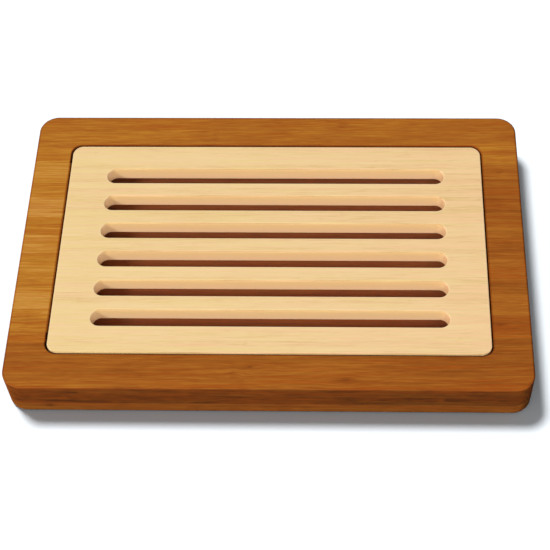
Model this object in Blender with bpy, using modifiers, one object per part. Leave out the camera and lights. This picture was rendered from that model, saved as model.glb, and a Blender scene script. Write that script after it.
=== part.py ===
"""Bread board with a crumb tray: a slotted board of pale bamboo that lifts out of a dark bamboo tray.

X runs along the board from left to right, Y from front to back, and Z up. The origin is on the table,
under the middle of the board. All lengths are in metres.
"""
import math

import bmesh
import bpy

# The tray: four rails glued on a base board, with a stepped pocket through the rails
TRAY_LENGTH = 0.380
TRAY_WIDTH = 0.249
TRAY_HEIGHT = 0.0332
TRAY_CORNER_RADIUS = 0.0145
TRAY_EDGE_EASE = 0.0012
BASE_THICKNESS = 0.0115
END_RIM_WIDTH = 0.0280  # what shows of the left and right rails beside the slotted board
LONG_RIM_WIDTH = 0.0285  # what shows of the front and back rails
POCKET_CORNER_RADIUS = 0.0090
POCKET_EDGE_EASE = 0.0006
LEDGE_WIDTH = 0.0100  # step in the rails that carries the slotted board
CRUMB_CORNER_RADIUS = 0.0080
GLUE_LINE = 0.0003

# The slotted board, which drops into the pocket
BOARD_THICKNESS = 0.0120
BOARD_RECESS = 0.0005  # how far its top lies below the rails
BOARD_GAP = 0.00125  # all round, between board and rails
BOARD_SEAT_CLEARANCE = 0.0003
BOARD_CORNER_RADIUS = 0.0080
BOARD_TOP_EASE = 0.0008
BOARD_BOTTOM_EASE = 0.0005
SLOT_COUNT = 6
SLOT_WIDTH = 0.0134
SLOT_END_MARGIN = 0.0295  # from the board's ends to the ends of the slots
SLOT_SIDE_MARGIN = 0.0295  # from the board's long edges to the middle of the outer slots

# The feet: rubber discs let into the base board, each held by a countersunk screw
FOOT_RADIUS = 0.0070
FOOT_PROUD = 0.0010
FOOT_SINK = 0.0020
FOOT_INSET = 0.0280  # from the tray's sides to the middle of a foot
FOOT_EDGE_ROUND = 0.0006
FOOT_CLEARANCE = 0.0003
SCREW_LENGTH = 0.0080
SCREW_SHANK_RADIUS = 0.0016
SCREW_HEAD_RADIUS = 0.0032
SCREW_HEAD_CONE = 0.0016
SCREW_TIP_LENGTH = 0.0030
SCREW_FACE_HEIGHT = 0.0006  # how far the screw's face stays above the table
SCREW_CLEARANCE = 0.0003
RECESS_LENGTH = 0.0034  # cross recess for the driver
RECESS_WIDTH = 0.0009
RECESS_DEPTH = 0.0009

# Fineness of the round parts, and helpers that shape nothing
CORNER_STEPS = 8
SLOT_END_STEPS = 12
EASE_STEPS = 3
TURN_STEPS = 32
FOOT_ROUND_STEPS = 3
CUT_OVERRUN = 0.0050
MERGE_DISTANCE = 0.000001
FLAT_ANGLE = math.radians(0.5)
RIM_ANGLE = math.radians(60)
SHARP_ANGLE = math.radians(35)

# Sizes and heights that follow from those above
POCKET_LENGTH = TRAY_LENGTH - 2 * END_RIM_WIDTH
POCKET_WIDTH = TRAY_WIDTH - 2 * LONG_RIM_WIDTH
CRUMB_LENGTH = POCKET_LENGTH - 2 * LEDGE_WIDTH
CRUMB_WIDTH = POCKET_WIDTH - 2 * LEDGE_WIDTH
BOARD_LENGTH = POCKET_LENGTH - 2 * BOARD_GAP
BOARD_WIDTH = POCKET_WIDTH - 2 * BOARD_GAP
SLOT_LENGTH = BOARD_LENGTH - 2 * SLOT_END_MARGIN
SLOT_PITCH = (BOARD_WIDTH - 2 * SLOT_SIDE_MARGIN) / (SLOT_COUNT - 1)
BASE_BOTTOM = FOOT_PROUD
BASE_TOP = BASE_BOTTOM + BASE_THICKNESS
FRAME_BOTTOM = BASE_TOP + GLUE_LINE
FRAME_TOP = BASE_BOTTOM + TRAY_HEIGHT
BOARD_TOP = FRAME_TOP - BOARD_RECESS
BOARD_BOTTOM = BOARD_TOP - BOARD_THICKNESS
LEDGE_TOP = BOARD_BOTTOM - BOARD_SEAT_CLEARANCE
JOINT_Y = CRUMB_WIDTH / 2 - CRUMB_CORNER_RADIUS  # past the corners, which stay whole in the long rails

# Colours as the eye reads them (red, green, blue out of 255), with roughness and metallic value
DARK_BAMBOO = ((168, 98, 42), 0.45, 0.0)
BASE_BAMBOO = ((158, 92, 40), 0.50, 0.0)
PALE_BAMBOO = ((240, 208, 152), 0.55, 0.0)
FOOT_RUBBER = ((48, 46, 44), 0.80, 0.0)
SCREW_STEEL = ((176, 176, 172), 0.35, 1.0)


def linear(channel):
    """A colour channel out of 255 as the renderer's linear value."""
    share = channel / 255
    return share / 12.92 if share <= 0.04045 else ((share + 0.055) / 1.055) ** 2.4


def clear_scene():
    for item in list(bpy.data.objects):
        bpy.data.objects.remove(item, do_unlink=True)


def new_collection(name):
    collection = bpy.data.collections.new(name)
    bpy.context.scene.collection.children.link(collection)
    return collection


def finish(piece, look, parent):
    """Give a piece its material, its shading and its place in the assembly."""
    colour, roughness, metallic = look
    material = bpy.data.materials.new(piece.name)
    material.use_nodes = True
    shader = material.node_tree.nodes["Principled BSDF"]
    shader.inputs["Base Color"].default_value = (*(linear(channel) for channel in colour), 1.0)
    shader.inputs["Roughness"].default_value = roughness
    shader.inputs["Metallic"].default_value = metallic
    piece.data.materials.clear()
    piece.data.materials.append(material)
    piece.data.shade_smooth()
    piece.data.set_sharp_from_angle(angle=SHARP_ANGLE)
    piece.parent = parent
    return piece


def hide_cutter(cutter):
    cutter.hide_render = True
    cutter.display_type = "WIRE"
    return cutter


def evaluated_mesh(item):
    bpy.context.view_layer.update()
    graph = bpy.context.evaluated_depsgraph_get()
    return bpy.data.meshes.new_from_object(item.evaluated_get(graph), depsgraph=graph)


def bake(piece):
    """Replace a piece's mesh by what its modifiers make of it."""
    shape = evaluated_mesh(piece)
    piece.modifiers.clear()
    piece.data = shape


def add_boolean(piece, cutter, operation="DIFFERENCE"):
    boolean = piece.modifiers.new(cutter.name, "BOOLEAN")
    boolean.operation = operation
    boolean.object = cutter
    boolean.solver = "EXACT"


def rectangle_outline(length, width, radius):
    """Points round a rectangle whose corners are quarter circles."""
    points = []
    for corner, (side_x, side_y) in enumerate(((1, 1), (-1, 1), (-1, -1), (1, -1))):
        for step in range(CORNER_STEPS + 1):
            angle = (corner + step / CORNER_STEPS) * math.pi / 2
            across = side_x * (length / 2 - radius) + radius * math.cos(angle)
            along = side_y * (width / 2 - radius) + radius * math.sin(angle)
            points.append((across, along))
    return points


def slot_outline(length, width):
    """Points round a slot whose ends are half circles."""
    radius = width / 2
    points = []
    for side in (1, -1):
        for step in range(SLOT_END_STEPS + 1):
            angle = (step / SLOT_END_STEPS - 1 / 2) * math.pi
            across = length / 2 - radius + radius * math.cos(angle)
            points.append((side * across, side * radius * math.sin(angle)))
    return points


def flat_solid(name, outline, bottom, top, collection):
    """A solid with an outline's shape between two heights, its origin on its underside."""
    curve = bpy.data.curves.new(name, "CURVE")
    curve.dimensions = "2D"
    curve.fill_mode = "BOTH"
    curve.extrude = (top - bottom) / 2
    spline = curve.splines.new("POLY")
    spline.points.add(len(outline) - 1)
    for point, (x, y) in zip(spline.points, outline):
        point.co = (x, y, 0, 1)
    spline.use_cyclic_u = True
    guide = bpy.data.objects.new(name + "_outline", curve)
    bpy.context.scene.collection.objects.link(guide)
    mesh = evaluated_mesh(guide)
    bpy.data.objects.remove(guide, do_unlink=True)
    shape = bmesh.new()
    shape.from_mesh(mesh)
    bmesh.ops.remove_doubles(shape, verts=shape.verts, dist=MERGE_DISTANCE)
    bmesh.ops.dissolve_limit(shape, angle_limit=FLAT_ANGLE, verts=shape.verts, edges=shape.edges)
    bmesh.ops.translate(shape, vec=(0, 0, (top - bottom) / 2), verts=shape.verts)
    shape.to_mesh(mesh)
    shape.free()
    solid = bpy.data.objects.new(name, mesh)
    solid.location.z = bottom
    collection.objects.link(solid)
    return solid


def block(name, low, high, collection):
    """A box between two opposite corners."""
    mesh = bpy.data.meshes.new(name)
    shape = bmesh.new()
    bmesh.ops.create_cube(shape, size=1)
    bmesh.ops.scale(shape, vec=[b - a for a, b in zip(low, high)], verts=shape.verts)
    bmesh.ops.translate(shape, vec=[(a + b) / 2 for a, b in zip(low, high)], verts=shape.verts)
    shape.to_mesh(mesh)
    shape.free()
    solid = bpy.data.objects.new(name, mesh)
    collection.objects.link(solid)
    return solid


def turned_solid(name, profile, collection, closed=False):
    """A solid of revolution about Z. The profile of (radius, height) runs down its outer side."""
    edges = [(i, i + 1) for i in range(len(profile) - 1)]
    if closed:
        edges.append((len(profile) - 1, 0))
    mesh = bpy.data.meshes.new(name)
    mesh.from_pydata([(radius, 0, height) for radius, height in profile], edges, [])
    solid = bpy.data.objects.new(name, mesh)
    collection.objects.link(solid)
    turn = solid.modifiers.new("turn", "SCREW")
    turn.angle = 2 * math.pi
    turn.steps = TURN_STEPS
    turn.render_steps = TURN_STEPS
    turn.use_merge_vertices = True
    turn.merge_threshold = MERGE_DISTANCE
    return solid


def ease_edges(piece, height, width):
    """Round a piece's sharp edges that lie at one height above its origin."""
    shape = bmesh.new()
    shape.from_mesh(piece.data)
    bmesh.ops.dissolve_limit(shape, angle_limit=FLAT_ANGLE, verts=shape.verts, edges=shape.edges)
    level = [edge for edge in shape.edges
             if all(abs(vertex.co.z - height) < MERGE_DISTANCE for vertex in edge.verts)]
    rim = [edge for edge in level if edge.calc_face_angle() > RIM_ANGLE]
    bmesh.ops.bevel(shape, geom=rim, offset=width, segments=EASE_STEPS, profile=0.5,
                    affect="EDGES", loop_slide=False)
    shape.to_mesh(piece.data)
    shape.free()


def make_frame_blank(cutters):
    """The frame before it is parted into rails: a ring with the stepped pocket and eased top edges."""
    outline = rectangle_outline(TRAY_LENGTH, TRAY_WIDTH, TRAY_CORNER_RADIUS)
    blank = flat_solid("frame_blank", outline, FRAME_BOTTOM, FRAME_TOP, cutters)
    ease_edges(blank, FRAME_TOP - FRAME_BOTTOM, TRAY_EDGE_EASE)
    outline = rectangle_outline(CRUMB_LENGTH, CRUMB_WIDTH, CRUMB_CORNER_RADIUS)
    crumb_cut = flat_solid("crumb_cut", outline, FRAME_BOTTOM - CUT_OVERRUN, FRAME_TOP + CUT_OVERRUN, cutters)
    outline = rectangle_outline(POCKET_LENGTH, POCKET_WIDTH, POCKET_CORNER_RADIUS)
    pocket_cut = flat_solid("pocket_cut", outline, LEDGE_TOP, FRAME_TOP + CUT_OVERRUN, cutters)
    for cutter in (crumb_cut, pocket_cut):
        add_boolean(blank, hide_cutter(cutter))
    bake(blank)
    ease_edges(blank, FRAME_TOP - FRAME_BOTTOM, POCKET_EDGE_EASE)
    return hide_cutter(blank)


def make_rail(name, blank, x_range, y_range, pieces, cutters):
    """One rail: the part of the frame that lies between two distances along X and along Y."""
    heights = (FRAME_BOTTOM - CUT_OVERRUN, FRAME_TOP + CUT_OVERRUN)
    low, high = zip(x_range, y_range, heights)
    reach = hide_cutter(block(name + "_reach", low, high, cutters))
    rail = bpy.data.objects.new(name, blank.data.copy())
    rail.location = blank.location
    pieces.objects.link(rail)
    add_boolean(rail, reach, "INTERSECT")
    return rail


def make_rails(pieces, cutters):
    blank = make_frame_blank(cutters)
    end_x = TRAY_LENGTH / 2 + CUT_OVERRUN
    end_y = TRAY_WIDTH / 2 + CUT_OVERRUN
    near = JOINT_Y - GLUE_LINE / 2
    far = JOINT_Y + GLUE_LINE / 2
    spans = {
        "front_rail": ((-end_x, end_x), (-end_y, -far)),
        "back_rail": ((-end_x, end_x), (far, end_y)),
        "left_rail": ((-end_x, 0), (-near, near)),
        "right_rail": ((0, end_x), (-near, near)),
    }
    return [make_rail(name, blank, *span, pieces, cutters) for name, span in spans.items()]


def foot_places():
    """Names and places of the four feet."""
    across = TRAY_LENGTH / 2 - FOOT_INSET
    along = TRAY_WIDTH / 2 - FOOT_INSET
    return {
        "front_left": (-across, -along, 0),
        "front_right": (across, -along, 0),
        "back_left": (-across, along, 0),
        "back_right": (across, along, 0),
    }


def make_base_board(pieces, cutters):
    """The tray's floor, with a stepped hole under each corner for a foot and its screw."""
    outline = rectangle_outline(TRAY_LENGTH, TRAY_WIDTH, TRAY_CORNER_RADIUS)
    base = flat_solid("base_board", outline, BASE_BOTTOM, BASE_TOP, pieces)
    ease_edges(base, 0, TRAY_EDGE_EASE)
    socket_radius = FOOT_RADIUS + FOOT_CLEARANCE
    socket_top = BASE_BOTTOM + FOOT_SINK + FOOT_CLEARANCE
    pilot_radius = SCREW_SHANK_RADIUS + SCREW_CLEARANCE
    pilot_top = SCREW_FACE_HEIGHT + SCREW_LENGTH + SCREW_CLEARANCE
    profile = [(0, pilot_top), (pilot_radius, pilot_top), (pilot_radius, socket_top),
               (socket_radius, socket_top), (socket_radius, -CUT_OVERRUN), (0, -CUT_OVERRUN)]
    for corner, place in foot_places().items():
        socket = turned_solid("socket_" + corner, profile, cutters)
        socket.location = place
        add_boolean(base, hide_cutter(socket))
    return base


def make_slotted_board(pieces, cutters):
    """The cutting board: a plate with round-ended slots along it and every edge eased."""
    outline = rectangle_outline(BOARD_LENGTH, BOARD_WIDTH, BOARD_CORNER_RADIUS)
    board = flat_solid("slotted_board", outline, BOARD_BOTTOM, BOARD_TOP, pieces)
    outline = slot_outline(SLOT_LENGTH, SLOT_WIDTH)
    for index in range(SLOT_COUNT):
        slot = flat_solid(f"slot_{index + 1}", outline, BOARD_BOTTOM - CUT_OVERRUN, BOARD_TOP + CUT_OVERRUN, cutters)
        slot.location.y = (index - (SLOT_COUNT - 1) / 2) * SLOT_PITCH
        add_boolean(board, hide_cutter(slot))
    bake(board)
    ease_edges(board, BOARD_THICKNESS, BOARD_TOP_EASE)
    ease_edges(board, 0, BOARD_BOTTOM_EASE)
    return board


def make_feet(pieces):
    """Four rubber discs, each with a countersunk hole and a rounded lower edge."""
    top = BASE_BOTTOM + FOOT_SINK
    hole = SCREW_SHANK_RADIUS + SCREW_CLEARANCE
    mouth = SCREW_HEAD_RADIUS + SCREW_CLEARANCE
    rounding = []
    for step in range(FOOT_ROUND_STEPS + 1):
        angle = step / FOOT_ROUND_STEPS * math.pi / 2
        out = FOOT_RADIUS - FOOT_EDGE_ROUND * (1 - math.cos(angle))
        rounding.append((out, FOOT_EDGE_ROUND * (1 - math.sin(angle))))
    profile = [(hole, top), (FOOT_RADIUS, top), *rounding, (mouth, 0), (mouth, SCREW_FACE_HEIGHT),
               (hole, SCREW_FACE_HEIGHT + SCREW_HEAD_CONE)]
    feet = []
    for corner, place in foot_places().items():
        foot = turned_solid("foot_" + corner, profile, pieces, closed=True)
        foot.location = place
        feet.append(foot)
    return feet


def make_foot_screws(pieces, cutters):
    """Four countersunk screws, head down, with a cross recess for the driver."""
    tip = SCREW_LENGTH
    profile = [(0, tip), (SCREW_SHANK_RADIUS, tip - SCREW_TIP_LENGTH), (SCREW_SHANK_RADIUS, SCREW_HEAD_CONE),
               (SCREW_HEAD_RADIUS, 0), (0, 0)]
    screws = []
    for corner, (x, y, _) in foot_places().items():
        screw = turned_solid("foot_screw_" + corner, profile, pieces)
        screw.location = (x, y, SCREW_FACE_HEIGHT)
        for way, (length, width) in enumerate(((RECESS_LENGTH, RECESS_WIDTH), (RECESS_WIDTH, RECESS_LENGTH))):
            low = (-length / 2, -width / 2, -CUT_OVERRUN)
            high = (length / 2, width / 2, RECESS_DEPTH)
            recess = hide_cutter(block(f"recess_{corner}_{way + 1}", low, high, cutters))
            recess.location = screw.location
            add_boolean(screw, recess)
        screws.append(screw)
    return screws


def main():
    clear_scene()
    pieces = new_collection("bread_board_with_crumb_tray")
    cutters = new_collection("cutters")
    tray = bpy.data.objects.new("tray", None)
    lift = bpy.data.objects.new("lift_axis", None)
    for empty in (tray, lift):
        pieces.objects.link(empty)
    for rail in make_rails(pieces, cutters):
        finish(rail, DARK_BAMBOO, tray)
    finish(make_base_board(pieces, cutters), BASE_BAMBOO, tray)
    for foot in make_feet(pieces):
        finish(foot, FOOT_RUBBER, tray)
    for screw in make_foot_screws(pieces, cutters):
        finish(screw, SCREW_STEEL, tray)
    finish(make_slotted_board(pieces, cutters), PALE_BAMBOO, lift)


main()
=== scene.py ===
import math

import bmesh
import bpy
import numpy as np
from mathutils import Matrix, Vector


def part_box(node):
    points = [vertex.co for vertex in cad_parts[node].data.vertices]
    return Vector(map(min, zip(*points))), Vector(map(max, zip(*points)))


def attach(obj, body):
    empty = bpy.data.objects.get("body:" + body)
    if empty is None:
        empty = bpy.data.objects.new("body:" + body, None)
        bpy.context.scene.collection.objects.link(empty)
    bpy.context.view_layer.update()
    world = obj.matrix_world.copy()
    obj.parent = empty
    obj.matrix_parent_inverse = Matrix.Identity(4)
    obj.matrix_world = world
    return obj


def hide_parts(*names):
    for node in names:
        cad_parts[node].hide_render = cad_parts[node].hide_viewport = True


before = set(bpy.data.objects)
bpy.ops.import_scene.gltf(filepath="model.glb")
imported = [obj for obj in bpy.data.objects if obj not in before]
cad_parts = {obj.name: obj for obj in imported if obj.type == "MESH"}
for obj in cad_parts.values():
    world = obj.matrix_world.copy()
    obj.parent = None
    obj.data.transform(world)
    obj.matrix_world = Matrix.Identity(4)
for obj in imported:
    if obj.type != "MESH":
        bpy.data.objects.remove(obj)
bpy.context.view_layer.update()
mm = 0.001
print("frame loaded:", len(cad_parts), "nodes")


# Camera: read from the photograph's straight edges, for an image of 550 by 550 pixels
cameraView = {
    "imageSide": 550.0,       # pixels
    "focalPixels": 1396.17,
    "middleX": 308.0,         # pixel column that the lens axis meets
    "place": (53.406, -601.06, 898.778),   # mm
    "pitchDown": 56.408,      # degrees
    "yaw": 2.593,
    "roll": -1.896,
    "sensorWidth": 36.0,
    "clip": (0.01, 50.0),     # m
}


def makeCamera(view):
    pitch, yaw, roll = (math.radians(view[key]) for key in ("pitchDown", "yaw", "roll"))
    ahead = np.array([-math.sin(yaw) * math.cos(pitch), math.cos(yaw) * math.cos(pitch), -math.sin(pitch)])
    level = np.array([math.cos(yaw), math.sin(yaw), 0.0])
    rise = np.cross(level, ahead)
    right = math.cos(roll) * level + math.sin(roll) * rise
    up = math.cos(roll) * rise - math.sin(roll) * level
    camera = bpy.data.objects.new("boardCamera", bpy.data.cameras.new("boardCamera"))
    bpy.context.scene.collection.objects.link(camera)
    turn = Matrix([list(row) for row in np.stack([right, up, -ahead], axis=1)]).to_4x4()
    turn.translation = [value * mm for value in view["place"]]
    camera.matrix_world = turn
    camera.data.sensor_width = view["sensorWidth"]
    camera.data.lens = view["focalPixels"] / view["imageSide"] * view["sensorWidth"]
    camera.data.shift_x = 0.5 - view["middleX"] / view["imageSide"]
    camera.data.clip_start, camera.data.clip_end = view["clip"]
    bpy.context.scene.camera = camera
    return camera


makeCamera(cameraView)
print("camera set")


# Shader maths: a Strand is one socket that can be used like a number in a sum
class Strand:
    def __init__(self, recipe, socket):
        self.recipe = recipe
        self.socket = socket

    def out(self, name):      # another output of the same node
        return Strand(self.recipe, self.socket.node.outputs[name])

    def join(self, operation, first, second):
        return self.recipe.add("ShaderNodeMath", {"operation": operation}, {0: first, 1: second})

    def __add__(self, other):
        return self.join("ADD", self, other)

    def __radd__(self, other):
        return self.join("ADD", other, self)

    def __sub__(self, other):
        return self.join("SUBTRACT", self, other)

    def __rsub__(self, other):
        return self.join("SUBTRACT", other, self)

    def __mul__(self, other):
        return self.join("MULTIPLY", self, other)

    def __rmul__(self, other):
        return self.join("MULTIPLY", other, self)

    def __truediv__(self, other):
        return self.join("DIVIDE", self, other)

    def __gt__(self, other):
        return self.join("GREATER_THAN", self, other)


class Recipe:                 # the nodes of one material or world while it is being made
    def __init__(self, owner):
        self.owner = owner
        owner.use_nodes = True
        self.tree = owner.node_tree
        self.tree.nodes.clear()

    def add(self, kind, settings=None, inputs=None, output=0):
        node = self.tree.nodes.new(kind)
        for key, value in (settings or {}).items():
            if key == "stops":
                self.setStops(node.color_ramp, value)
            else:
                setattr(node, key, value)
        for key, value in (inputs or {}).items():
            if isinstance(value, Strand):
                self.tree.links.new(value.socket, node.inputs[key])
            else:
                node.inputs[key].default_value = value
        return Strand(self, node.outputs[output])

    def setStops(self, ramp, stops):
        for element, (place, colour) in zip(ramp.elements, (stops[0], stops[-1])):
            element.position, element.color = place, colour
        for place, colour in stops[1:-1]:
            ramp.elements.new(place).color = colour

    def maths(self, operation, value, second=0.0):
        return self.add("ShaderNodeMath", {"operation": operation}, {0: value, 1: second})

    def bell(self, distance, width):      # 1 at nought, falling off to nothing over about two widths
        share = distance / width
        return self.maths("EXPONENT", 0.0 - share * share)

    def blob(self, offsets, widths):      # the bells of three distances, multiplied
        first, second, third = (self.bell(offset, width) for offset, width in zip(offsets, widths))
        return first * second * third

    def ease(self, value, low, high):     # 0 below low, 1 above high, smooth between
        settings = {"interpolation_type": "SMOOTHSTEP"}
        inputs = {"Value": value, "From Min": low, "From Max": high}
        return self.add("ShaderNodeMapRange", settings, inputs)

    def blend(self, factor, first, second):
        settings = {"data_type": "RGBA"}
        return self.add("ShaderNodeMix", settings, {0: factor, 6: first, 7: second}, output=2)

    def ramp(self, value, stops):
        stops = [(place, tint(*colour)) for place, colour in stops]
        return self.add("ShaderNodeValToRGB", {"stops": stops}, {0: value})

    def place(self):                      # where on the object, in mm
        position = self.add("ShaderNodeTexCoord", output="Object")
        return self.add("ShaderNodeVectorMath", {"operation": "SCALE"}, {0: position, "Scale": 1 / mm})

    def parts(self, vector):
        x = self.add("ShaderNodeSeparateXYZ", {}, {0: vector})
        return x, x.out("Y"), x.out("Z")

    def stretch(self, vector, sizes):     # counts a place in cells of these sizes
        scale = tuple(1.0 / size for size in sizes)
        return self.add("ShaderNodeVectorMath", {"operation": "MULTIPLY"}, {0: vector, 1: scale})

    def noise(self, vector, sizes, detail=1.0, roughness=0.5):
        cells = self.stretch(vector, sizes)
        inputs = {"Vector": cells, "Scale": 1.0, "Detail": detail, "Roughness": roughness}
        return self.add("ShaderNodeTexNoise", {}, inputs)

    def swing(self, *noiseInputs):        # noise that swings about nought
        return self.noise(*noiseInputs) - 0.5

    def chance(self, value):              # one random number from 0 to 1 for each value
        return self.add("ShaderNodeTexWhiteNoise", {"noise_dimensions": "1D"}, {"W": value})

    def seenRay(self):
        # 1 for rays from the camera and from mirror-like or clear surfaces, else 0
        camera = self.add("ShaderNodeLightPath", output="Is Camera Ray")
        either = self.maths("MAXIMUM", camera, camera.out("Is Glossy Ray"))
        return self.maths("MAXIMUM", either, camera.out("Is Transmission Ray"))

    def finish(self, colour, roughness, bumpHeight, bumpDistance, constants):
        inputs = {"Height": bumpHeight, "Distance": bumpDistance, "Strength": 1.0}
        normal = self.add("ShaderNodeBump", {}, inputs)
        inputs = {"Base Color": colour, "Roughness": roughness, "Normal": normal, **constants}
        return self.show(self.add("ShaderNodeBsdfPrincipled", {}, inputs))

    def show(self, surface, outlet="ShaderNodeOutputMaterial"):
        target = self.tree.nodes.new(outlet)
        self.tree.links.new(surface.socket, target.inputs["Surface"])
        return self.owner


def tint(red, green, blue):   # a colour as the eye reads it, out of 255
    shares = [channel / 255 for channel in (red, green, blue)]
    return (*(s / 12.92 if s <= 0.04045 else ((s + 0.055) / 1.055) ** 2.4 for s in shares), 1.0)


# Bamboo: boards glued up from strips, with the grain along X. Lengths in mm. A cell is given by its
# length along the grain, across it and down.
fibres = {
    "endless": 9e3,                       # longer than any board
    "wanderCell": 1.7,                    # over the pitch of the strips
    "seamEdge": (0.04, 0.22),             # distance from a seam over which it ends
    "slantCell": (40.0, 7.0, 7.0),
    "slant": 6.0,                         # how far a knuckle stands askew
    "swirlCell": (22.0, 6.0, 6.0),
    "swirlReach": 5.0,                    # over the width of a knuckle
    "eyeReach": (3.2, 1.0, 1.0),          # over the size of an eye
    "eyeCore": (0.9, 0.35, 1.0),
    "eyePull": 0.75,                      # share of the way that places are drawn towards an eye
    "eyeHalo": 0.25,                      # over the depth of an eye
    "driftCell": (26.0, 9.0, 9.0),
    "broadCell": (90.0, 6.5, 8.0),
    "middleCell": (26.0, 1.25, 3.4),
    "fineCell": (9.0, 0.5, 1.3),
    "roughness": 0.6,                     # of the middle, fine and blotch noise
    "mottleCell": (70.0, 38.0, 38.0),
    "blotchCell": (17.0, 60.0, 4.4),
    "hueCell": (70.0, 1.0, 2.0),          # the last two over the width of the streaks of hue
    "blushEase": (0.45, 0.75),            # warmth over which the blush comes in
    "gildEase": (0.26, 0.52),             # warmth over which the gild goes out
    "bundlePitch": 0.85,                  # from one fibre bundle to the next on a cut end
    "bundleEdge": (0.16, 0.36),           # distance from a bundle's middle over which it ends
    "bundleShrink": 0.12,                 # how much smaller bundles are at the foot of a layer
    "bundleDisorder": 0.9,
    "endStripTone": (0.55, 0.5),          # middle lightness of strips, and what share cut ends take of it
    "endLayerShare": 2.0,                 # the same for layers
    "endSeamDepth": 0.12,
    "endEase": (0.30, 0.75),              # facing over which the cut end's look comes in
    "upwardEase": (0.4, 0.9),
    "knuckleShine": 0.05,
    "roughnessSwing": 0.18,
    "heights": {"fine": 0.5, "middle": 0.35, "seam": 0.6, "knuckle": 0.5},    # shares of the relief
}
seedSteps = {                 # what sets strips, layers and hues off anew
    "strip": 3.7,
    "layer": 11.3,
    "layerTone": 5.3,
    "hue": 5.3,
    "alongGrain": 61.7,
    "down": 9.1,
}


def stepped(value, edges, levels):
    # the first level, plus the change to the next one at each edge that the value has passed
    total = levels[0]
    for edge, before, after in zip(edges, levels, levels[1:]):
        total = total + (value > edge) * (after - before)
    return total


def listedStrips(recipe, across, plan):
    # strips between the plan's seams: number, lightness, and distance to the nearest seam
    seams = plan["seams"]
    gaps = [recipe.maths("ABSOLUTE", across - seam) for seam in seams]
    nearest = gaps[0]
    for gap in gaps[1:]:
        nearest = recipe.maths("MINIMUM", nearest, gap)
    return stepped(across, seams, range(len(seams) + 1)), stepped(across, seams, plan["tones"]), nearest


def evenStrips(recipe, across, place, plan):
    # strips of one pitch that wanders a little: number, lightness, and distance to the nearest seam
    pitch, endless = plan["pitch"], fibres["endless"]
    wander = recipe.noise(place, (endless, pitch * fibres["wanderCell"], endless), 0.0)
    counted = (across + wander * plan["pitchWander"]) / pitch
    strip = recipe.maths("FLOOR", counted)
    stripTone = (recipe.chance(strip + plan["seed"]) - 0.5) * plan["stripContrast"] + 0.5
    within = recipe.maths("FRACT", counted)
    return strip, stripTone, (0.5 - recipe.maths("ABSOLUTE", within - 0.5)) * pitch


def knuckles(recipe, place, x, stripSeed, plan):
    # each strip's own knuckles, one every knucklePitch along it: the bell of the distance to the nearest
    # one, at its own width and at its swirl's
    pitch, width = plan["knucklePitch"], plan["knuckleWidth"]
    slant = recipe.swing(place, fibres["slantCell"]) * (fibres["slant"] / pitch)
    along = x / pitch + recipe.chance(stripSeed) + slant
    gap = (recipe.maths("FRACT", along) - 0.5) * pitch
    return recipe.bell(gap, width), recipe.bell(gap, width * fibres["swirlReach"])


def eyes(recipe, spot, bend, plan):
    # fibres part round an eye, because places are drawn towards its middle before the streaks are read:
    # the bend across and down, and how dark the eyes are, which is a core and a halo of bells
    bendY, bendZ, shade = bend, bend, 0.0
    for *middle, size, depth in plan.get("eyes", ()):
        offsets = [part - centre for part, centre in zip(spot, middle)]
        reach = recipe.blob(offsets, [share * size for share in fibres["eyeReach"]])
        core = recipe.blob(offsets, [share * size for share in fibres["eyeCore"]])
        bendY = bendY - offsets[1] * reach * fibres["eyePull"]
        bendZ = bendZ - offsets[2] * reach * fibres["eyePull"]
        shade = shade + core * depth + reach * (fibres["eyeHalo"] * depth)
    return bendY, bendZ, shade


def cutEnds(recipe, place, depthInLayer):
    # cut ends show the fibre bundles as dots, larger towards the top of each layer: 1 inside a dot
    pitch = fibres["bundlePitch"]
    cells = recipe.stretch(place, (fibres["endless"], pitch, pitch))
    inputs = {"Vector": cells, "Scale": 1.0, "Randomness": fibres["bundleDisorder"]}
    distance = recipe.add("ShaderNodeTexVoronoi", {}, inputs, output="Distance")
    low, high = fibres["bundleEdge"]
    return 1.0 - recipe.ease(distance, low, high - depthInLayer * fibres["bundleShrink"])


def grainColour(recipe, tone, grain, x, stripSeed, plan):
    # a ramp turns lightness into colour, with a blush where the warmth is high and a gild where it is low
    length, width, depth = fibres["hueCell"]
    hueCell = (length, plan["hueSize"] * width, plan["hueSize"] * depth)
    warmth = recipe.noise(grain, hueCell) + x * plan["redden"]
    warmth = warmth + (recipe.chance(stripSeed + seedSteps["hue"]) - 0.5) * plan["stripHue"]
    blush = recipe.ease(warmth, *fibres["blushEase"]) * plan["blush"]
    gild = (1.0 - recipe.ease(warmth, *fibres["gildEase"])) * plan["gild"]
    colour = recipe.blend(blush, recipe.ramp(tone, plan["colours"]), tint(*plan["blushColour"]))
    return recipe.blend(gild, colour, tint(*plan["gildColour"]))


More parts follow.
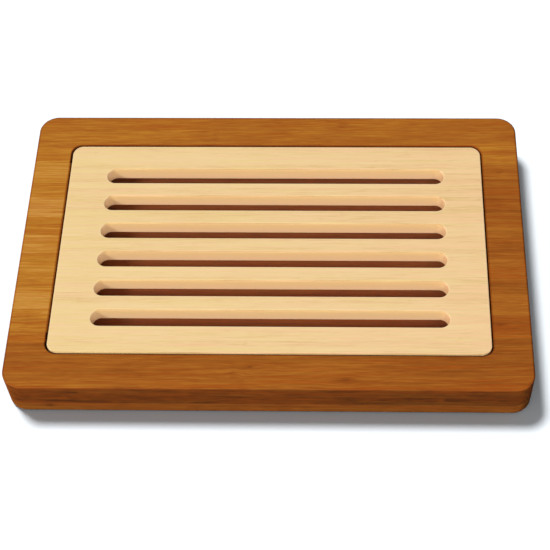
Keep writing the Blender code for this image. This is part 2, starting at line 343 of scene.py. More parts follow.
def bamboo(name, plan):
    # lightness = strip + layer + streaks + painted edge light - knuckles - seams - eyes - painted falloff
    # - what the facing takes off, which is partly grain and partly painted shade and light
    recipe = Recipe(bpy.data.materials.new(name))
    place = recipe.place()
    x, y, z = recipe.parts(place)
    depth = (plan["top"] - z) / plan["layerHeight"]
    layer = recipe.maths("FLOOR", depth)
    across = y - x * plan["grainTilt"] + layer * plan["layerShift"]
    if "seams" in plan:
        strip, stripTone, seamGap = listedStrips(recipe, across, plan)
    else:
        strip, stripTone, seamGap = evenStrips(recipe, across, place, plan)
    seam = 1.0 - recipe.ease(seamGap, *fibres["seamEdge"])
    stripSeed = strip * seedSteps["strip"] + layer * seedSteps["layer"] + plan["seed"]
    layerTone = (recipe.chance(layer * seedSteps["layerTone"] + plan["seed"]) - 0.5) * plan["layerContrast"]
    layerTone = layerTone * recipe.maths("MINIMUM", layer, 1.0)      # none on the top layer

    # streaks along the grain, in three finenesses, set off anew in every strip
    knuckle, swirlShare = knuckles(recipe, place, x, stripSeed, plan)
    swirl = recipe.swing(place, fibres["swirlCell"]) * swirlShare * plan["swirl"]
    bendY, bendZ, eyeTone = eyes(recipe, (x, y, z), swirl, plan)
    drift = recipe.swing(place, fibres["driftCell"]) * plan["waver"]
    grain = recipe.add("ShaderNodeCombineXYZ", {}, {
        "X": x + stripSeed * seedSteps["alongGrain"],
        "Y": across + bendY + drift,
        "Z": z + bendZ + stripSeed * seedSteps["down"],
    })
    broad = recipe.swing(grain, fibres["broadCell"])
    middle = recipe.swing(grain, fibres["middleCell"], 2.0, fibres["roughness"])
    fine = recipe.swing(grain, fibres["fineCell"], 1.0, fibres["roughness"])
    mottle = recipe.swing(place, fibres["mottleCell"])
    streak = broad * plan["broad"] + middle * plan["middle"] + fine * plan["fine"] + mottle * plan["mottle"]

    # which way the surface faces: towards an end, a side or the top
    facingX, facingY, facingZ = recipe.parts(recipe.add("ShaderNodeTexCoord", output="Normal"))
    endGrain = recipe.ease(recipe.maths("ABSOLUTE", facingX), *fibres["endEase"])
    upright = recipe.ease(recipe.maths("ABSOLUTE", facingY), *plan["uprightEase"])
    upward = recipe.ease(facingZ, *fibres["upwardEase"])
    dots = cutEnds(recipe, place, recipe.maths("FRACT", depth))
    middleTone, toneShare = fibres["endStripTone"]
    # cut ends: own tone and fibre dots, plus painted shade or light by whether they face right or left
    endToneAndShading = plan["endToneAndShading"] - dots * plan["dotDepth"] - facingX * plan["endFacingShading"]
    endToneAndShading = endToneAndShading + (stripTone - middleTone) * toneShare
    endToneAndShading = endToneAndShading + layerTone * fibres["endLayerShare"] - seam * fibres["endSeamDepth"]

    wear = recipe.add("ShaderNodeAttribute", {"attribute_name": "wear"}, output="Fac")
    blotch = recipe.swing(place, fibres["blotchCell"], 2.0, fibres["roughness"])
    tone = stripTone + layerTone + streak - knuckle * plan["knuckleDepth"] - seam * plan["seamDepth"]
    # painted highlight and painted shade on the eased edges, besides by which way they face along Y
    tone = tone + wear * (facingY * plan["edgeFacingPaintedLight"] + plan["edgePaintedLight"])
    # walls: on dark bamboo partly side grain and partly painted shade, on pale bamboo painted light in the
    # slots
    tone = tone - upright * (plan["sideToneAndShading"] + blotch * plan["blotch"])
    # painted shade on the upward face and painted falloff of the light towards the right
    tone = tone - upward * plan["topPaintedShade"] - x * plan["paintedFalloff"] - eyeTone
    tone = tone + (endToneAndShading + streak - tone) * endGrain

    colour = grainColour(recipe, tone, grain, x, stripSeed, plan)
    # walls' colour: their own grain's colour mixed with painted shading
    wallColourAndShading = tint(*plan["wallColourAndShading"])
    if "paintedFootLight" in plan:              # painted light: walls turn lighter and pinker towards their foot, deep in the slots' shade
        wallColourAndShading = recipe.blend(recipe.ease(z, *plan["paintedFootLightEase"]), tint(*plan["paintedFootLight"]), wallColourAndShading)
    colour = recipe.blend(upright * plan["wallShare"], colour, wallColourAndShading)
    # cut ends take a lighter, pinker colour: partly their own, partly painted light
    if "endColourAndLight" in plan:
        colour = recipe.blend(endGrain * plan["endShare"], colour, tint(*plan["endColourAndLight"]))
    # the upward face takes a duller colour: painted shade
    if "topPaintedShadeColour" in plan:
        colour = recipe.blend(upward * plan["topShare"], colour, tint(*plan["topPaintedShadeColour"]))

    heights = fibres["heights"]
    height = fine * heights["fine"] + middle * heights["middle"]
    height = height - seam * heights["seam"] + knuckle * heights["knuckle"]
    roughness = plan["roughness"] + middle * fibres["roughnessSwing"] - knuckle * fibres["knuckleShine"]
    return recipe.finish(colour, roughness, height, plan["relief"] * mm, plan["gloss"])


# Surfaces: whole arrays of points, in mm
def cornerOutline(halfX, halfY, radius, height, steps):
    # rectangle with round corners, one row for each height:
    # corner centre + radius times (cosine, sine) of an angle that makes a quarter turn at each corner
    corner = np.repeat(np.arange(4), steps + 1)
    angle = (corner + np.tile(np.linspace(0.0, 1.0, steps + 1), 4)) * np.pi / 2
    sideX = np.array([1.0, -1.0, -1.0, 1.0])[corner]
    sideY = np.array([1.0, 1.0, -1.0, -1.0])[corner]
    halfX, halfY, radius, height = (np.reshape(part, (-1, 1)) for part in (halfX, halfY, radius, height))
    across = sideX * (halfX - radius) + radius * np.cos(angle)
    along = sideY * (halfY - radius) + radius * np.sin(angle)
    return np.stack([across, along, np.broadcast_to(height, across.shape)], axis=-1)


def quarterRound(size, steps):
    # quarter of a circle: how far in = size times (1 - cosine), how far on = size times sine
    angle = np.linspace(0.0, np.pi / 2, steps + 1)
    return size * (1 - np.cos(angle)), size * np.sin(angle)


def wallProfile(low, high, lowEase, highEase, band, steps):
    # a wall's section from the underside to the top, as how far in from the wall, height, and an eased-edge
    # mask, which is 1 on the two quarter rounds and 0 elsewhere
    inTop, onTop = quarterRound(highEase, steps)
    inLow, onLow = quarterRound(lowEase, steps)
    inset = np.concatenate([[lowEase + band], inLow[::-1], [0.0, 0.0], inTop, [highEase + band]])
    lowHeights = low + lowEase - onLow[::-1]
    highHeights = high - highEase + onTop
    bands = [low + lowEase + band, high - highEase - band]
    height = np.concatenate([[low], lowHeights, bands, highHeights, [high]])
    edgeMask = np.concatenate([[0.0], np.ones(steps + 1), [0.0, 0.0], np.ones(steps + 1), [0.0]])
    return inset, height, edgeMask


def turned(radius, height, centre, steps):
    # surface of revolution: centre + (radius times cosine, radius times sine, height) round a full turn
    angle = np.linspace(0.0, 2 * np.pi, steps, endpoint=False)
    radius, height = (np.reshape(part, (-1, 1)) for part in (radius, height))
    across = centre[0] + radius * np.cos(angle)
    along = centre[1] + radius * np.sin(angle)
    return np.stack([across, along, np.broadcast_to(height, across.shape)], axis=-1)


def gridFaces(rows, columns, closedRows, closedColumns):
    # four corners of every cell of a grid, wrapped where it is closed
    row = np.arange(rows if closedRows else rows - 1)[:, None]
    column = np.arange(columns if closedColumns else columns - 1)[None, :]
    nextRow, nextColumn = (row + 1) % rows, (column + 1) % columns
    cells = [row * columns + column, row * columns + nextColumn, nextRow * columns + nextColumn,
             nextRow * columns + column]
    cells = [np.broadcast_to(cell, (row.size, column.size)) for cell in cells]
    return np.stack(cells, axis=-1).reshape(-1, 4)


pieceCollection = bpy.data.collections.new("breadBoard")
bpy.context.scene.collection.children.link(pieceCollection)


weldDistance = 1e-7           # m
rimTolerance = 1e-6           # m
sharpAngle = 35.0             # degrees


def meshOf(name, grids):
    # grids: (points, eased-edge mask, closedRows, closedColumns)
    points, faces, edgeMask, start = [], [], [], 0
    for grid, wear, closedRows, closedColumns in grids:
        rows, columns = grid.shape[:2]
        points.append(grid.reshape(-1, 3) * mm)
        faces.append(gridFaces(rows, columns, closedRows, closedColumns) + start)
        edgeMask.append(np.broadcast_to(np.reshape(wear, (-1, 1)), (rows, columns)).ravel())
        start += rows * columns
    mesh = bpy.data.meshes.new(name)
    mesh.from_pydata(np.concatenate(points), [], np.concatenate(faces))
    attribute = mesh.attributes.new("wear", "FLOAT", "POINT")
    attribute.data.foreach_set("value", np.concatenate(edgeMask).astype(np.float32))
    return mesh


def rimAt(shape, axis, distance):         # open edges that lie in one plane across an axis
    return [edge for edge in shape.edges if edge.is_boundary
            and all(abs(vertex.co[axis] - distance * mm) < rimTolerance for vertex in edge.verts)]


def makePiece(name, grids, material, body, node, capHeights=(), capEnds=()):
    # flat holes left at capHeights along Z, and at the (axis, distance) pairs of capEnds, are filled
    mesh = meshOf(name, grids)
    shape = bmesh.new()
    shape.from_mesh(mesh)
    bmesh.ops.remove_doubles(shape, verts=shape.verts, dist=weldDistance)
    for height in capHeights:
        rim = rimAt(shape, 2, height)
        bmesh.ops.triangle_fill(shape, use_beauty=True, use_dissolve=False, edges=rim)
    for axis, distance in capEnds:
        bmesh.ops.edgeloop_fill(shape, edges=rimAt(shape, axis, distance))
    bmesh.ops.recalc_face_normals(shape, faces=shape.faces)
    openEdges = sum(not edge.is_manifold for edge in shape.edges)
    shape.to_mesh(mesh)
    shape.free()
    mesh.shade_smooth()
    mesh.set_sharp_from_angle(angle=math.radians(sharpAngle))
    mesh.materials.append(material)
    piece = bpy.data.objects.new(name, mesh)
    pieceCollection.objects.link(piece)
    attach(piece, body)
    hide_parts(node)
    print(name, "made:", len(mesh.polygons), "faces,", openEdges, "open edges")
    return piece


def boxOf(node):              # a CAD node's box in mm
    low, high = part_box(node)
    return np.array(low) / mm, np.array(high) / mm


# Rails: the dark frame with its stepped pocket
rails = {
    "cornerRadius": 14.5,
    "outerEase": 1.2,
    "pocketRadius": 9.0,
    "pocketEase": 0.6,
    "pocketGap": 1.25,        # from the slotted board to the rails
    "seatGap": 0.3,           # from the slotted board down to the ledge
    "ledgeWidth": 10.0,
    "crumbRadius": 8.0,
    "glueLine": 0.03,         # what is left open at a glued joint
    "lowerEase": 0.08,
    "band": 0.4,              # flat strip beside an eased edge
    "cornerSteps": 20,
    "easeSteps": 5,
}
boardLow, boardHigh = boxOf("slotted_board")
baseLow, baseHigh = boxOf("base_board")
frontLow, frontHigh = boxOf("front_rail")
halfLength, halfWidth, railTop = frontHigh[0], -frontLow[1], frontHigh[2]
jointY = (boxOf("left_rail")[1][1] - frontHigh[1]) / 2    # where the long rails meet the side rails


def railProfile(sizes):
    # the frame's section as a closed run of (half length, half width, corner radius, height):
    # up the outside, over the eased top edge, across, down into the pocket, over the ledge and back below
    bottom = baseHigh[2] + sizes["glueLine"]
    ledge = boardLow[2] - sizes["seatGap"]
    pocketX, pocketY = boardHigh[0] + sizes["pocketGap"], boardHigh[1] + sizes["pocketGap"]
    outer, pocket, band = sizes["outerEase"], sizes["pocketEase"], sizes["band"]
    inset, height, edgeMask = wallProfile(bottom, railTop, sizes["lowerEase"], outer, band, sizes["easeSteps"])
    inset, height, edgeMask = inset[1:], height[1:], edgeMask[1:]
    outside = [halfLength - inset, halfWidth - inset, sizes["cornerRadius"] - inset, height, edgeMask]
    inPocket, onPocket = quarterRound(pocket, sizes["easeSteps"])
    grow = np.concatenate([[pocket + band], inPocket[::-1], [0.0, 0.0]])
    down = np.concatenate([[0.0], pocket - onPocket[::-1], [pocket + band, railTop - ledge]])
    wear = np.concatenate([[0.0], np.ones(sizes["easeSteps"] + 1), [0.0, 0.0]])
    inside = [pocketX + grow, pocketY + grow, sizes["pocketRadius"] + grow, railTop - down, wear]
    step = sizes["ledgeWidth"]
    shelf = [np.full(2, pocketX - step), np.full(2, pocketY - step), np.full(2, sizes["crumbRadius"]),
             np.array([ledge, bottom]), np.zeros(2)]
    return [np.concatenate(parts) for parts in zip(outside, inside, shelf)]


def longRail(sizes, side):
    # the frame's section carried along one long side, from joint to joint round both corners, with
    # side 1 for the back and -1 for the front
    halfX, halfY, radius, height, edgeMask = railProfile(sizes)
    end = jointY + sizes["glueLine"] / 2
    outline = cornerOutline(halfX, halfY, radius, height, sizes["cornerSteps"])
    half = outline.shape[1] // 2
    run = outline[:, :half]
    run[..., 1] = np.maximum(run[..., 1], end)
    first, last = run[:, :1].copy(), run[:, -1:].copy()
    first[..., 1], last[..., 1] = end, end
    run = np.concatenate([first, run, last], axis=1)
    run[..., 1] *= side
    return run, edgeMask, [side * end]


def sideRail(sizes, side):
    # the frame's section carried straight from joint to joint, with side 1 for the right and -1 for
    # the left
    halfX, halfY, radius, height, edgeMask = railProfile(sizes)
    end = jointY - sizes["glueLine"] / 2
    ends = np.array([-end, end])
    across = side * np.repeat(halfX[:, None], 2, axis=1)
    along = np.broadcast_to(ends, across.shape)
    return np.stack([across, along, np.repeat(height[:, None], 2, axis=1)], axis=-1), edgeMask, ends


darkPlan = {
    "top": railTop + 0.5,     # a little above the rails, so that no layer ends at their top
    "layerHeight": 5.6,
    "layerShift": 6.7,        # how far a layer's seams lie beside those of the layer above
    "layerContrast": 0.08,
    "grainTilt": 0.0,         # mm across for each mm along
    "waver": 0.9,             # how far the grain wanders
    "paintedFalloff": 0.0,              # painted falloff of the light: lightness lost for each mm to the right
    "redden": 0.0,            # gain of warmth for each mm to the right
    "hueSize": 1.7,           # width of the streaks of hue
    "stripHue": 0.22,         # how far the strips differ in hue
    "knucklePitch": 238.0,
    "knuckleWidth": 2.4,
    "knuckleDepth": 0.035,
    "swirl": 7.0,             # how far the grain bends beside a knuckle
    "broad": 0.26,            # contrasts of the streaks, from broad to fine, and of the mottling
    "middle": 0.50,
    "fine": 0.26,
    "mottle": 0.12,
    "seamDepth": 0.05,
    "edgePaintedLight": -0.20,        # painted light that eased edges gain; below nought, painted shade
    "edgeFacingPaintedLight": -0.35,        # painted light that those facing the back gain besides; below nought, painted shade
    "uprightEase": (0.4, 0.9),    # facing over which a wall's look comes in
    "sideToneAndShading": 0.35,         # lightness that walls lose: partly their side grain, partly painted shade; below nought, painted light
    "blotch": 0.38,           # contrast of the blotches on walls
    "topPaintedShade": 0.0,           # lightness that the top loses: painted shade
    "endToneAndShading": 0.20,          # lightness of cut ends: their own tone, set low partly as painted shade
    "endFacingShading": 0.29,          # painted shade on cut ends that face right, painted light on those that face left
    "dotDepth": 0.13,         # how dark fibre bundles are on cut ends
    # walls' colour: the side grain's tone and painted shade
    "wallColourAndShading": (101, 53, 22),
    "wallShare": 0.5,
    "colours": [              # from dark to light
        (0.00, (46, 28, 19)),
        (0.22, (120, 60, 22)),
        (0.45, (152, 83, 29)),
        (0.62, (172, 103, 37)),
        (0.80, (193, 130, 45)),
        (1.00, (214, 156, 78)),
    ],
    "blush": 0.40,            # share of the warm hue, and below it that of the golden one
    "blushColour": (168, 80, 24),
    "gild": 0.20,
    "gildColour": (178, 118, 42),
    "roughness": 0.46,
    "relief": 0.05,           # height of the grain
    "gloss": {"Specular IOR Level": 0.0},
}
# seams: places across the grain, where one strip ends; tones: lightness of the strips between them;
# eyes: place, size and depth of each, where a depth below nought is a light eye
railPlans = {
    "front_rail": {
        "grainTilt": 0.017,
        "seed": 7.0,
        "paintedFalloff": 0.00030,
        "blush": 0.5,
        "seams": [-115.5, -102.5, -84.0],
        "tones": [0.55, 0.50, 0.46, 0.63],
        "eyes": [
            (55.2, -116.4, railTop, 6.0, 0.16),
            (-12.5, -106.3, railTop, 2.2, 0.16),
            (124.2, -halfWidth, 20.5, 2.6, -0.22),
        ],
    },
    "back_rail": {
        "grainTilt": 0.017,
        "seed": 15.0,
        "paintedFalloff": 0.0002,
        "seams": [95.5, 113.0],
        "tones": [0.72, 0.62, 0.64],
        "eyes": [(50.5, 114.7, railTop, 4.0, 0.10)],
    },
    "left_rail": {
        "seed": 23.0,
        "endToneAndShading": 0.46,
        "endFacingShading": 0.0,
        "gild": 0.45,
        "seams": [-58.6, -40.0, -8.8, 8.0, 25.0, 44.0, 63.0],
        # the left rail's strips are lighter than the right rail's: partly their own tone, partly painted
        # falloff of the light from the left
        "tones": [0.75, 0.88, 0.76, 0.85, 0.76, 0.89, 0.75, 0.83],
    },
    "right_rail": {
        "seed": 31.0,
        "seams": [-61.9, -43.5, -31.3, -12.0, 7.0, 25.5, 44.0, 62.5],
        # darker strips than the left rail's: partly their own tone, partly painted falloff of the light
        "tones": [0.45, 0.60, 0.47, 0.54, 0.47, 0.52, 0.46, 0.51, 0.55],
        "eyes": [
            (174.5, 68.8, railTop, 3.0, 0.12),
            (176.7, 2.3, railTop, 3.2, 0.12),
            (167.2, -70.1, railTop, 4.0, 0.16),
        ],
    },
}
for railName, railPlan in railPlans.items():
    railMaterial = bamboo("darkBamboo_" + railName, {**darkPlan, **railPlan})
    railSide = 1 if railName in ("back_rail", "right_rail") else -1
    if railName in ("front_rail", "back_rail"):
        railGrid, railEdgeMask, railEnds = longRail(rails, railSide)
    else:
        railGrid, railEdgeMask, railEnds = sideRail(rails, railSide)
    makePiece(railName + "Bamboo", [(railGrid, railEdgeMask, True, False)], railMaterial, "tray", railName,
              capEnds=[(1, railEnd) for railEnd in railEnds])


# Feet and their screws: turned pieces in sockets under the base board
feet = {
    "clearance": 0.3,
    "edgeRound": 0.7,
    "holeRadius": 1.9,
    "mouthRadius": 3.5,
    "turnSteps": 96,
    "roundSteps": 6,
    "band": 0.3,
    "look": {
        "gritCell": 0.25,
        "gritHarshness": 0.6,
        "cloudCell": 3.0,
        "gritShare": 0.5,     # of the grit in the colour, where the clouds have the rest
        "colours": [(0.3, (30, 29, 28)), (0.7, (66, 64, 61))],
        "roughness": 0.68,
        "gritRoughness": 0.0,
        "cloudRoughness": 0.2,
        "relief": 0.03,
        "gloss": {"Specular IOR Level": 0.4},
    },
}
screws = {
    "headRadius": 3.2,
    "headCone": 1.6,
    "headEdge": 0.1,
    "shankRadius": 1.6,
    "coreRadius": 1.25,
    "threadPitch": 1.1,
    "tipLength": 3.0,
    "tipShare": 0.02,         # least share of the shank's radius, at the tip
    "grooveShare": 0.5,       # most share of the radius that the groove takes
    "recessArm": 1.7,         # cross recess for the driver
    "recessHalfWidth": 0.45,
    "recessDepth": 0.9,
    "recessSlope": 0.16,
    "recessEndSlope": 0.48,
    "pilotClearance": 0.3,
    "turnSteps": 96,
    "faceSteps": 26,
    "shankSteps": 64,
    "plainSteps": 4,          # rows without thread below the head
    "look": {
        "gritCell": 0.12,
        "gritHarshness": 0.6,
        "cloudCell": 1.6,
        "gritShare": 0.0,
        "colours": [(0.3, (168, 170, 172)), (0.7, (206, 206, 202))],
        "roughness": 0.2,
        "gritRoughness": 0.1,
        "cloudRoughness": 0.25,
        "relief": 0.006,
        "gloss": {"Metallic": 1.0},
    },
}
corners = ("front_left", "front_right", "back_left", "back_right")
footBoxes = {corner: boxOf("foot_" + corner) for corner in corners}
screwBoxes = {corner: boxOf("foot_screw_" + corner) for corner in corners}


def footSurface(sizes, low, high):
    # surface of revolution whose section runs from the screw hole over the top, down the rounded side
    # and back up through the countersink
    radius = (high[0] - low[0]) / 2
    inset, rise = quarterRound(sizes["edgeRound"], sizes["roundSteps"])
    face = screwBoxes["front_left"][0][2]
    cone = screws["headCone"]
    hole, mouth, band = sizes["holeRadius"], sizes["mouthRadius"], sizes["band"]
    across = np.concatenate([[hole, radius - band, radius, radius], radius - inset,
                             [radius - sizes["edgeRound"] - band, mouth + band, mouth, mouth, hole]])
    upTo = [high[2], high[2], high[2], low[2] + sizes["edgeRound"] + band]
    height = np.concatenate([upTo, low[2] + sizes["edgeRound"] - rise, [low[2]] * 3, [face, face + cone]])
    return turned(across, height, (low + high) / 2, sizes["turnSteps"])


def screwSurface(sizes, low, high):
    # surface of revolution, tip to head, with two changes: on the shank the radius follows a sawtooth of
    # height over pitch less the turn's share, which is the thread, and the face sinks where the cross is
    face, tip, edge = low[2], high[2], sizes["headEdge"]
    shankRows = np.linspace(tip, face + sizes["headCone"], sizes["shankSteps"])
    faceRows = np.linspace(sizes["headRadius"] - edge, 0.0, sizes["faceSteps"])
    angle = np.linspace(0.0, 2 * np.pi, sizes["turnSteps"], endpoint=False)
    height = np.concatenate([[tip], shankRows, [face + edge, face], np.full(faceRows.size, face)])
    taper = np.clip((tip - shankRows) / sizes["tipLength"], sizes["tipShare"], 1.0)
    head = [sizes["headRadius"], sizes["headRadius"] - edge / 2]
    radius = np.concatenate([[0.0], taper * sizes["shankRadius"], head, faceRows])
    radius, height = (np.repeat(part[:, None], angle.size, axis=1) for part in (radius, height))
    turnShare = np.mod((height - face) / sizes["threadPitch"] - angle / (2 * np.pi), 1.0)
    groove = (sizes["shankRadius"] - sizes["coreRadius"]) * np.abs(2 * turnShare - 1)
    groove = np.minimum(groove, radius * sizes["grooveShare"])
    rows = np.arange(height.shape[0])[:, None]
    onShank = (rows > 1) & (rows < sizes["shankSteps"] - sizes["plainSteps"])
    radius = radius - np.where(onShank, groove, 0.0)
    across, along = radius * np.cos(angle), radius * np.sin(angle)
    narrow = np.minimum(np.abs(across), np.abs(along))
    wide = np.maximum(np.abs(across), np.abs(along))
    sink = np.clip((sizes["recessHalfWidth"] - narrow) / sizes["recessSlope"] + 0.5, 0.0, 1.0)
    sink = sink * np.clip((sizes["recessArm"] - wide) / sizes["recessEndSlope"] + 0.5, 0.0, 1.0)
    onFace = rows >= height.shape[0] - sizes["faceSteps"]
    height = height + np.where(onFace, sink * sizes["recessDepth"], 0.0)
    middle = (low + high) / 2
    return np.stack([middle[0] + across, middle[1] + along, height], axis=-1)


def speckled(name, look):
    # grit and clouds of noise: a mix of them sets the colour, and both set the roughness
    recipe = Recipe(bpy.data.materials.new(name))
    place = recipe.place()
    grit = recipe.noise(place, [look["gritCell"]] * 3, 2.0, look["gritHarshness"])
    cloud = recipe.noise(place, [look["cloudCell"]] * 3, 2.0)
    colour = recipe.ramp(grit * look["gritShare"] + cloud * (1 - look["gritShare"]), look["colours"])
    roughness = cloud * look["cloudRoughness"] + grit * look["gritRoughness"] + look["roughness"]
    return recipe.finish(colour, roughness, grit, look["relief"] * mm, look["gloss"])


footRubber, screwZinc = speckled("footRubber", feet["look"]), speckled("screwZinc", screws["look"])
for corner in corners:
    footGrid = footSurface(feet, *footBoxes[corner])
    makePiece(f"foot_{corner}Rubber", [(footGrid, np.zeros(footGrid.shape[0]), True, True)], footRubber,
              "tray", "foot_" + corner)
    screwGrid = screwSurface(screws, *screwBoxes[corner])
    makePiece(f"foot_screw_{corner}Zinc", [(screwGrid, np.zeros(screwGrid.shape[0]), False, True)],
              screwZinc, "tray", "foot_screw_" + corner)


# Base board: the tray's floor and the lower band of its sides
base = {
    "cornerRadius": 14.5,
    "upperEase": 0.08,
    "lowerEase": 1.2,
    "band": 0.4,
    "cornerSteps": 20,
    "easeSteps": 5,
}
basePlan = {
    **darkPlan,
    "top": baseHigh[2] + 0.4,  # a little above the board, so that no layer ends at its top
    "layerHeight": 5.3,
    "layerShift": 8.3,
    "seed": 51.0,
    "pitch": 19.4,
    "pitchWander": 1.5,
    "stripContrast": 0.24,
    "middle": 0.65,
    # painted shade along the eased edges
    "edgePaintedLight": -0.35,
    "edgeFacingPaintedLight": 0.0,
    "sideToneAndShading": 0.12,
    "blotch": 0.3,
    # the crumb floor under the slotted board is painted darker and duller: painted shade
    "topPaintedShade": 0.15,
    "topPaintedShadeColour": (176, 108, 83),
    "topShare": 0.36,
    "wallColourAndShading": (120, 68, 27),
    "eyes": [(-158.0, -halfWidth, 8.9, 3.0, 0.20)],
}


def socketSurface(corner):
    # surface of revolution up the side of a foot's socket, across its top and up the screw's pilot hole
    low, high = footBoxes[corner]
    radius = (high[0] - low[0]) / 2 + feet["clearance"]
    pilot = screws["shankRadius"] + screws["pilotClearance"]
    top = high[2] + feet["clearance"]
    end = screwBoxes[corner][1][2] + screws["pilotClearance"]
    across = [radius + feet["band"], radius, radius, pilot, pilot, 0.0]
    height = [baseLow[2], baseLow[2], top, top, end, end]
    return turned(np.array(across), np.array(height), (low + high) / 2, feet["turnSteps"])


def baseSurfaces(sizes):
    # one wall's section carried round the board, and the four sockets
    inset, height, edgeMask = wallProfile(baseLow[2], baseHigh[2], sizes["lowerEase"], sizes["upperEase"],
                                      sizes["band"], sizes["easeSteps"])
    wall = cornerOutline(halfLength - inset, halfWidth - inset, sizes["cornerRadius"] - inset, height,
                         sizes["cornerSteps"])
    sockets = [socketSurface(corner) for corner in corners]
    sockets = [(socket, np.zeros(len(socket)), False, True) for socket in sockets]
    return [(wall, edgeMask, False, True), *sockets]


makePiece("base_boardBamboo", baseSurfaces(base), bamboo("baseBamboo", basePlan), "tray", "base_board",
          capHeights=(baseLow[2], baseHigh[2]))


# Slotted board: pale bamboo, glued up from narrow strips on edge
slottedBoard = {
    "cornerRadius": 8.0,
    "topEase": 0.8,
    "bottomEase": 0.5,
    "band": 0.4,
    "slotCount": 6,
    "slotWidth": 13.4,
    "slotEndMargin": 29.5,    # from the board's ends to the ends of the slots
    "slotSideMargin": 29.5,   # from the board's sides to the middle lines of the outer slots
    "cornerSteps": 16,
    "easeSteps": 5,
}
palePlan = {
    "top": 1000.0,            # no layers: each strip runs through the whole thickness
    "layerHeight": 2000.0,
    "layerShift": 0.0,
    "layerContrast": 0.0,
    "grainTilt": 0.004,
    "waver": 0.8,
    "paintedFalloff": 0.0002,
    "redden": 0.0006,
    "hueSize": 1.9,
    "stripHue": 0.10,
    "seed": 90.0,
    "pitch": 4.6,
    "pitchWander": 2.4,
    "stripContrast": 0.16,
    "knucklePitch": 246.0,
    "knuckleWidth": 1.6,
    "knuckleDepth": 0.04,
    "swirl": 3.0,
    "broad": 0.24,
    "middle": 0.52,
    "fine": 0.28,
    "mottle": 0.12,
    "seamDepth": 0.04,
    # painted highlight on eased edges, strongest on the near lips that face the back; painted shade on the
    # far lips
    "edgePaintedLight": 0.25,
    "edgeFacingPaintedLight": 1.3,
    # painted light on the slot walls, which lie in shade
    "sideToneAndShading": -0.20,
    "blotch": 0.0,
    "topPaintedShade": 0.0,
    # cut ends painted lighter: painted light on those facing right, which lie in shade, painted shade on
    # those facing left
    "endToneAndShading": 0.70,
    "endFacingShading": -0.35,
    "dotDepth": 0.20,
    # lighter, pinker cut ends: partly their own colour, partly painted light in the shaded slot ends
    "endColourAndLight": (252, 206, 160),
    "endShare": 0.55,
    "uprightEase": (0.65, 0.97),
    # warmer walls: partly the edge grain, partly painted bounce light between the slot walls
    "wallColourAndShading": (246, 208, 147),
    "wallShare": 0.9,
    # painted light at the foot of the slot walls, where the shade is deepest
    "paintedFootLight": (255, 217, 170),
    "paintedFootLightEase": (23.0, 31.0),  # heights over which the painted light at a wall's foot gives way to the wall's colour
    "colours": [
        (0.00, (186, 138, 84)),
        (0.25, (222, 181, 124)),
        (0.50, (241, 207, 151)),
        (0.75, (246, 216, 162)),
        (1.00, (250, 226, 178)),
    ],
    "blush": 0.65,
    "blushColour": (245, 201, 154),
    "gild": 0.45,
    "gildColour": (238, 210, 140),
    "roughness": 0.55,
    "relief": 0.04,
    "gloss": {"Specular IOR Level": 0.15},
}


def slottedSurfaces(sizes):
    # one wall's section carried round the board, and once round each slot, where it is turned outwards
    inset, height, edgeMask = wallProfile(boardLow[2], boardHigh[2], sizes["bottomEase"], sizes["topEase"],
                                      sizes["band"], sizes["easeSteps"])
    middle = (boardLow + boardHigh) / 2
    halfX, halfY = (boardHigh - boardLow)[:2] / 2
    rim = cornerOutline(halfX - inset, halfY - inset, sizes["cornerRadius"] - inset, height,
                        sizes["cornerSteps"])
    rim[..., :2] += middle[:2]
    end = sizes["slotWidth"] / 2
    slot = cornerOutline(halfX - sizes["slotEndMargin"] + inset, end + inset, end + inset, height,
                         sizes["cornerSteps"])
    places = np.linspace(-1.0, 1.0, sizes["slotCount"]) * (halfY - sizes["slotSideMargin"])
    slots = [slot + [middle[0], middle[1] + place, 0.0] for place in places]
    return [(grid, edgeMask, False, True) for grid in (rim, *slots)]


makePiece("slotted_boardBamboo", slottedSurfaces(slottedBoard), bamboo("paleBamboo", palePlan),
          "slotted_board", "slotted_board", capHeights=(boardLow[2], boardHigh[2]))


# Studio: a pale floor that stays white but for the board's shadow, lamps and a soft surround
studio = {
    "floorHalf": 8.0,         # m
    "floorColour": (193, 198, 202),
    "floorBounce": (126, 126, 126),    # what the pieces see of the floor
    "floorSun": {"towards": (-0.345, 0.37, 1.0), "strength": 5.54, "spread": 14.0},
    "keyLamp": {"towards": (-1.1, -0.75, 1.0), "distance": 8.0, "side": 1.8, "power": 345.0},
    "fillLamp": {"towards": (0.45, -1.0, 1.0), "distance": 8.0, "side": 2.4, "power": 220.0},
    "surround": {"strength": 0.435, "lean": 0.8},    # lean: how much stronger it is from the front
}


def floorMaterial(seenColour, bounceColour):
    recipe = Recipe(bpy.data.materials.new("floorPaper"))
    colour = recipe.blend(recipe.seenRay(), tint(*bounceColour), tint(*seenColour))
    return recipe.show(recipe.add("ShaderNodeBsdfDiffuse", {}, {"Color": colour}))


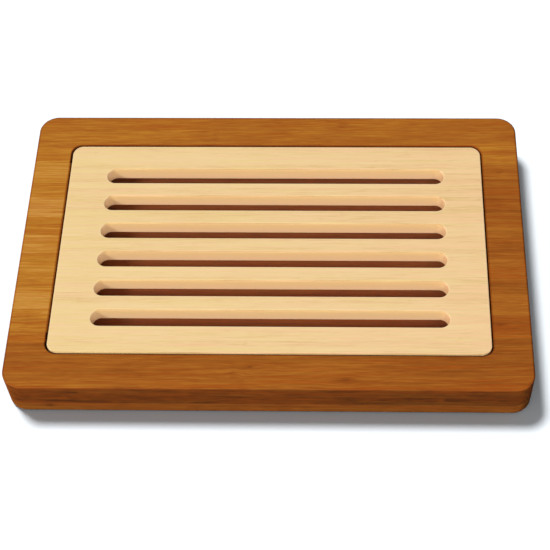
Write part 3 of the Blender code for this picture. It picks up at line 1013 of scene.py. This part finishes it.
def makeFloor(half):
    # flat square: every point of the grid at height nought
    steps = np.linspace(-half, half, 3)
    grid = np.stack([*np.meshgrid(steps, steps), np.zeros((3, 3))], axis=-1)
    mesh = bpy.data.meshes.new("floor")
    mesh.from_pydata(grid.reshape(-1, 3), [], gridFaces(3, 3, False, False))
    mesh.materials.append(floorMaterial(studio["floorColour"], studio["floorBounce"]))
    floor = bpy.data.objects.new("floor", mesh)
    stageCollection.objects.link(floor)


def addLamp(name, kind, towards, receivers):
    lamp = bpy.data.objects.new(name, bpy.data.lights.new(name, kind))
    bpy.context.scene.collection.objects.link(lamp)
    back = np.array(towards) / np.linalg.norm(towards)
    side = np.cross((0.0, 0.0, 1.0), back)
    side /= np.linalg.norm(side)
    lamp.matrix_world = Matrix(np.stack([side, np.cross(back, side), back], axis=1).tolist()).to_4x4()
    lamp.light_linking.receiver_collection = receivers
    return lamp, back


stageCollection = bpy.data.collections.new("stage")
bpy.context.scene.collection.children.link(stageCollection)
makeFloor(studio["floorHalf"])
sunPlan = studio["floorSun"]
sun = addLamp("floorSun", "SUN", sunPlan["towards"], stageCollection)[0]
sun.data.energy, sun.data.angle = sunPlan["strength"], math.radians(sunPlan["spread"])
for lampName in ("keyLamp", "fillLamp"):
    lampPlan = studio[lampName]
    lamp, lampBack = addLamp(lampName, "AREA", lampPlan["towards"], pieceCollection)
    lamp.location = lampBack * lampPlan["distance"]
    lamp.data.size, lamp.data.energy = lampPlan["side"], lampPlan["power"]


def makeSurround(strength, lean):
    # strength times (1 - lean times the ray's Y) for what lights the pieces, plain white for what is seen
    recipe = Recipe(bpy.data.worlds.new("surround"))
    ray = recipe.parts(recipe.add("ShaderNodeTexCoord", output="Generated"))
    light = strength - ray[1] * (strength * lean)
    level = light + recipe.seenRay() * (1.0 - light)
    background = recipe.add("ShaderNodeBackground", {}, {"Color": (1.0, 1.0, 1.0, 1.0), "Strength": level})
    bpy.context.scene.world = recipe.show(background, "ShaderNodeOutputWorld")


makeSurround(**studio["surround"])
bpy.context.scene.view_settings.view_transform = "Standard"
print("studio set")
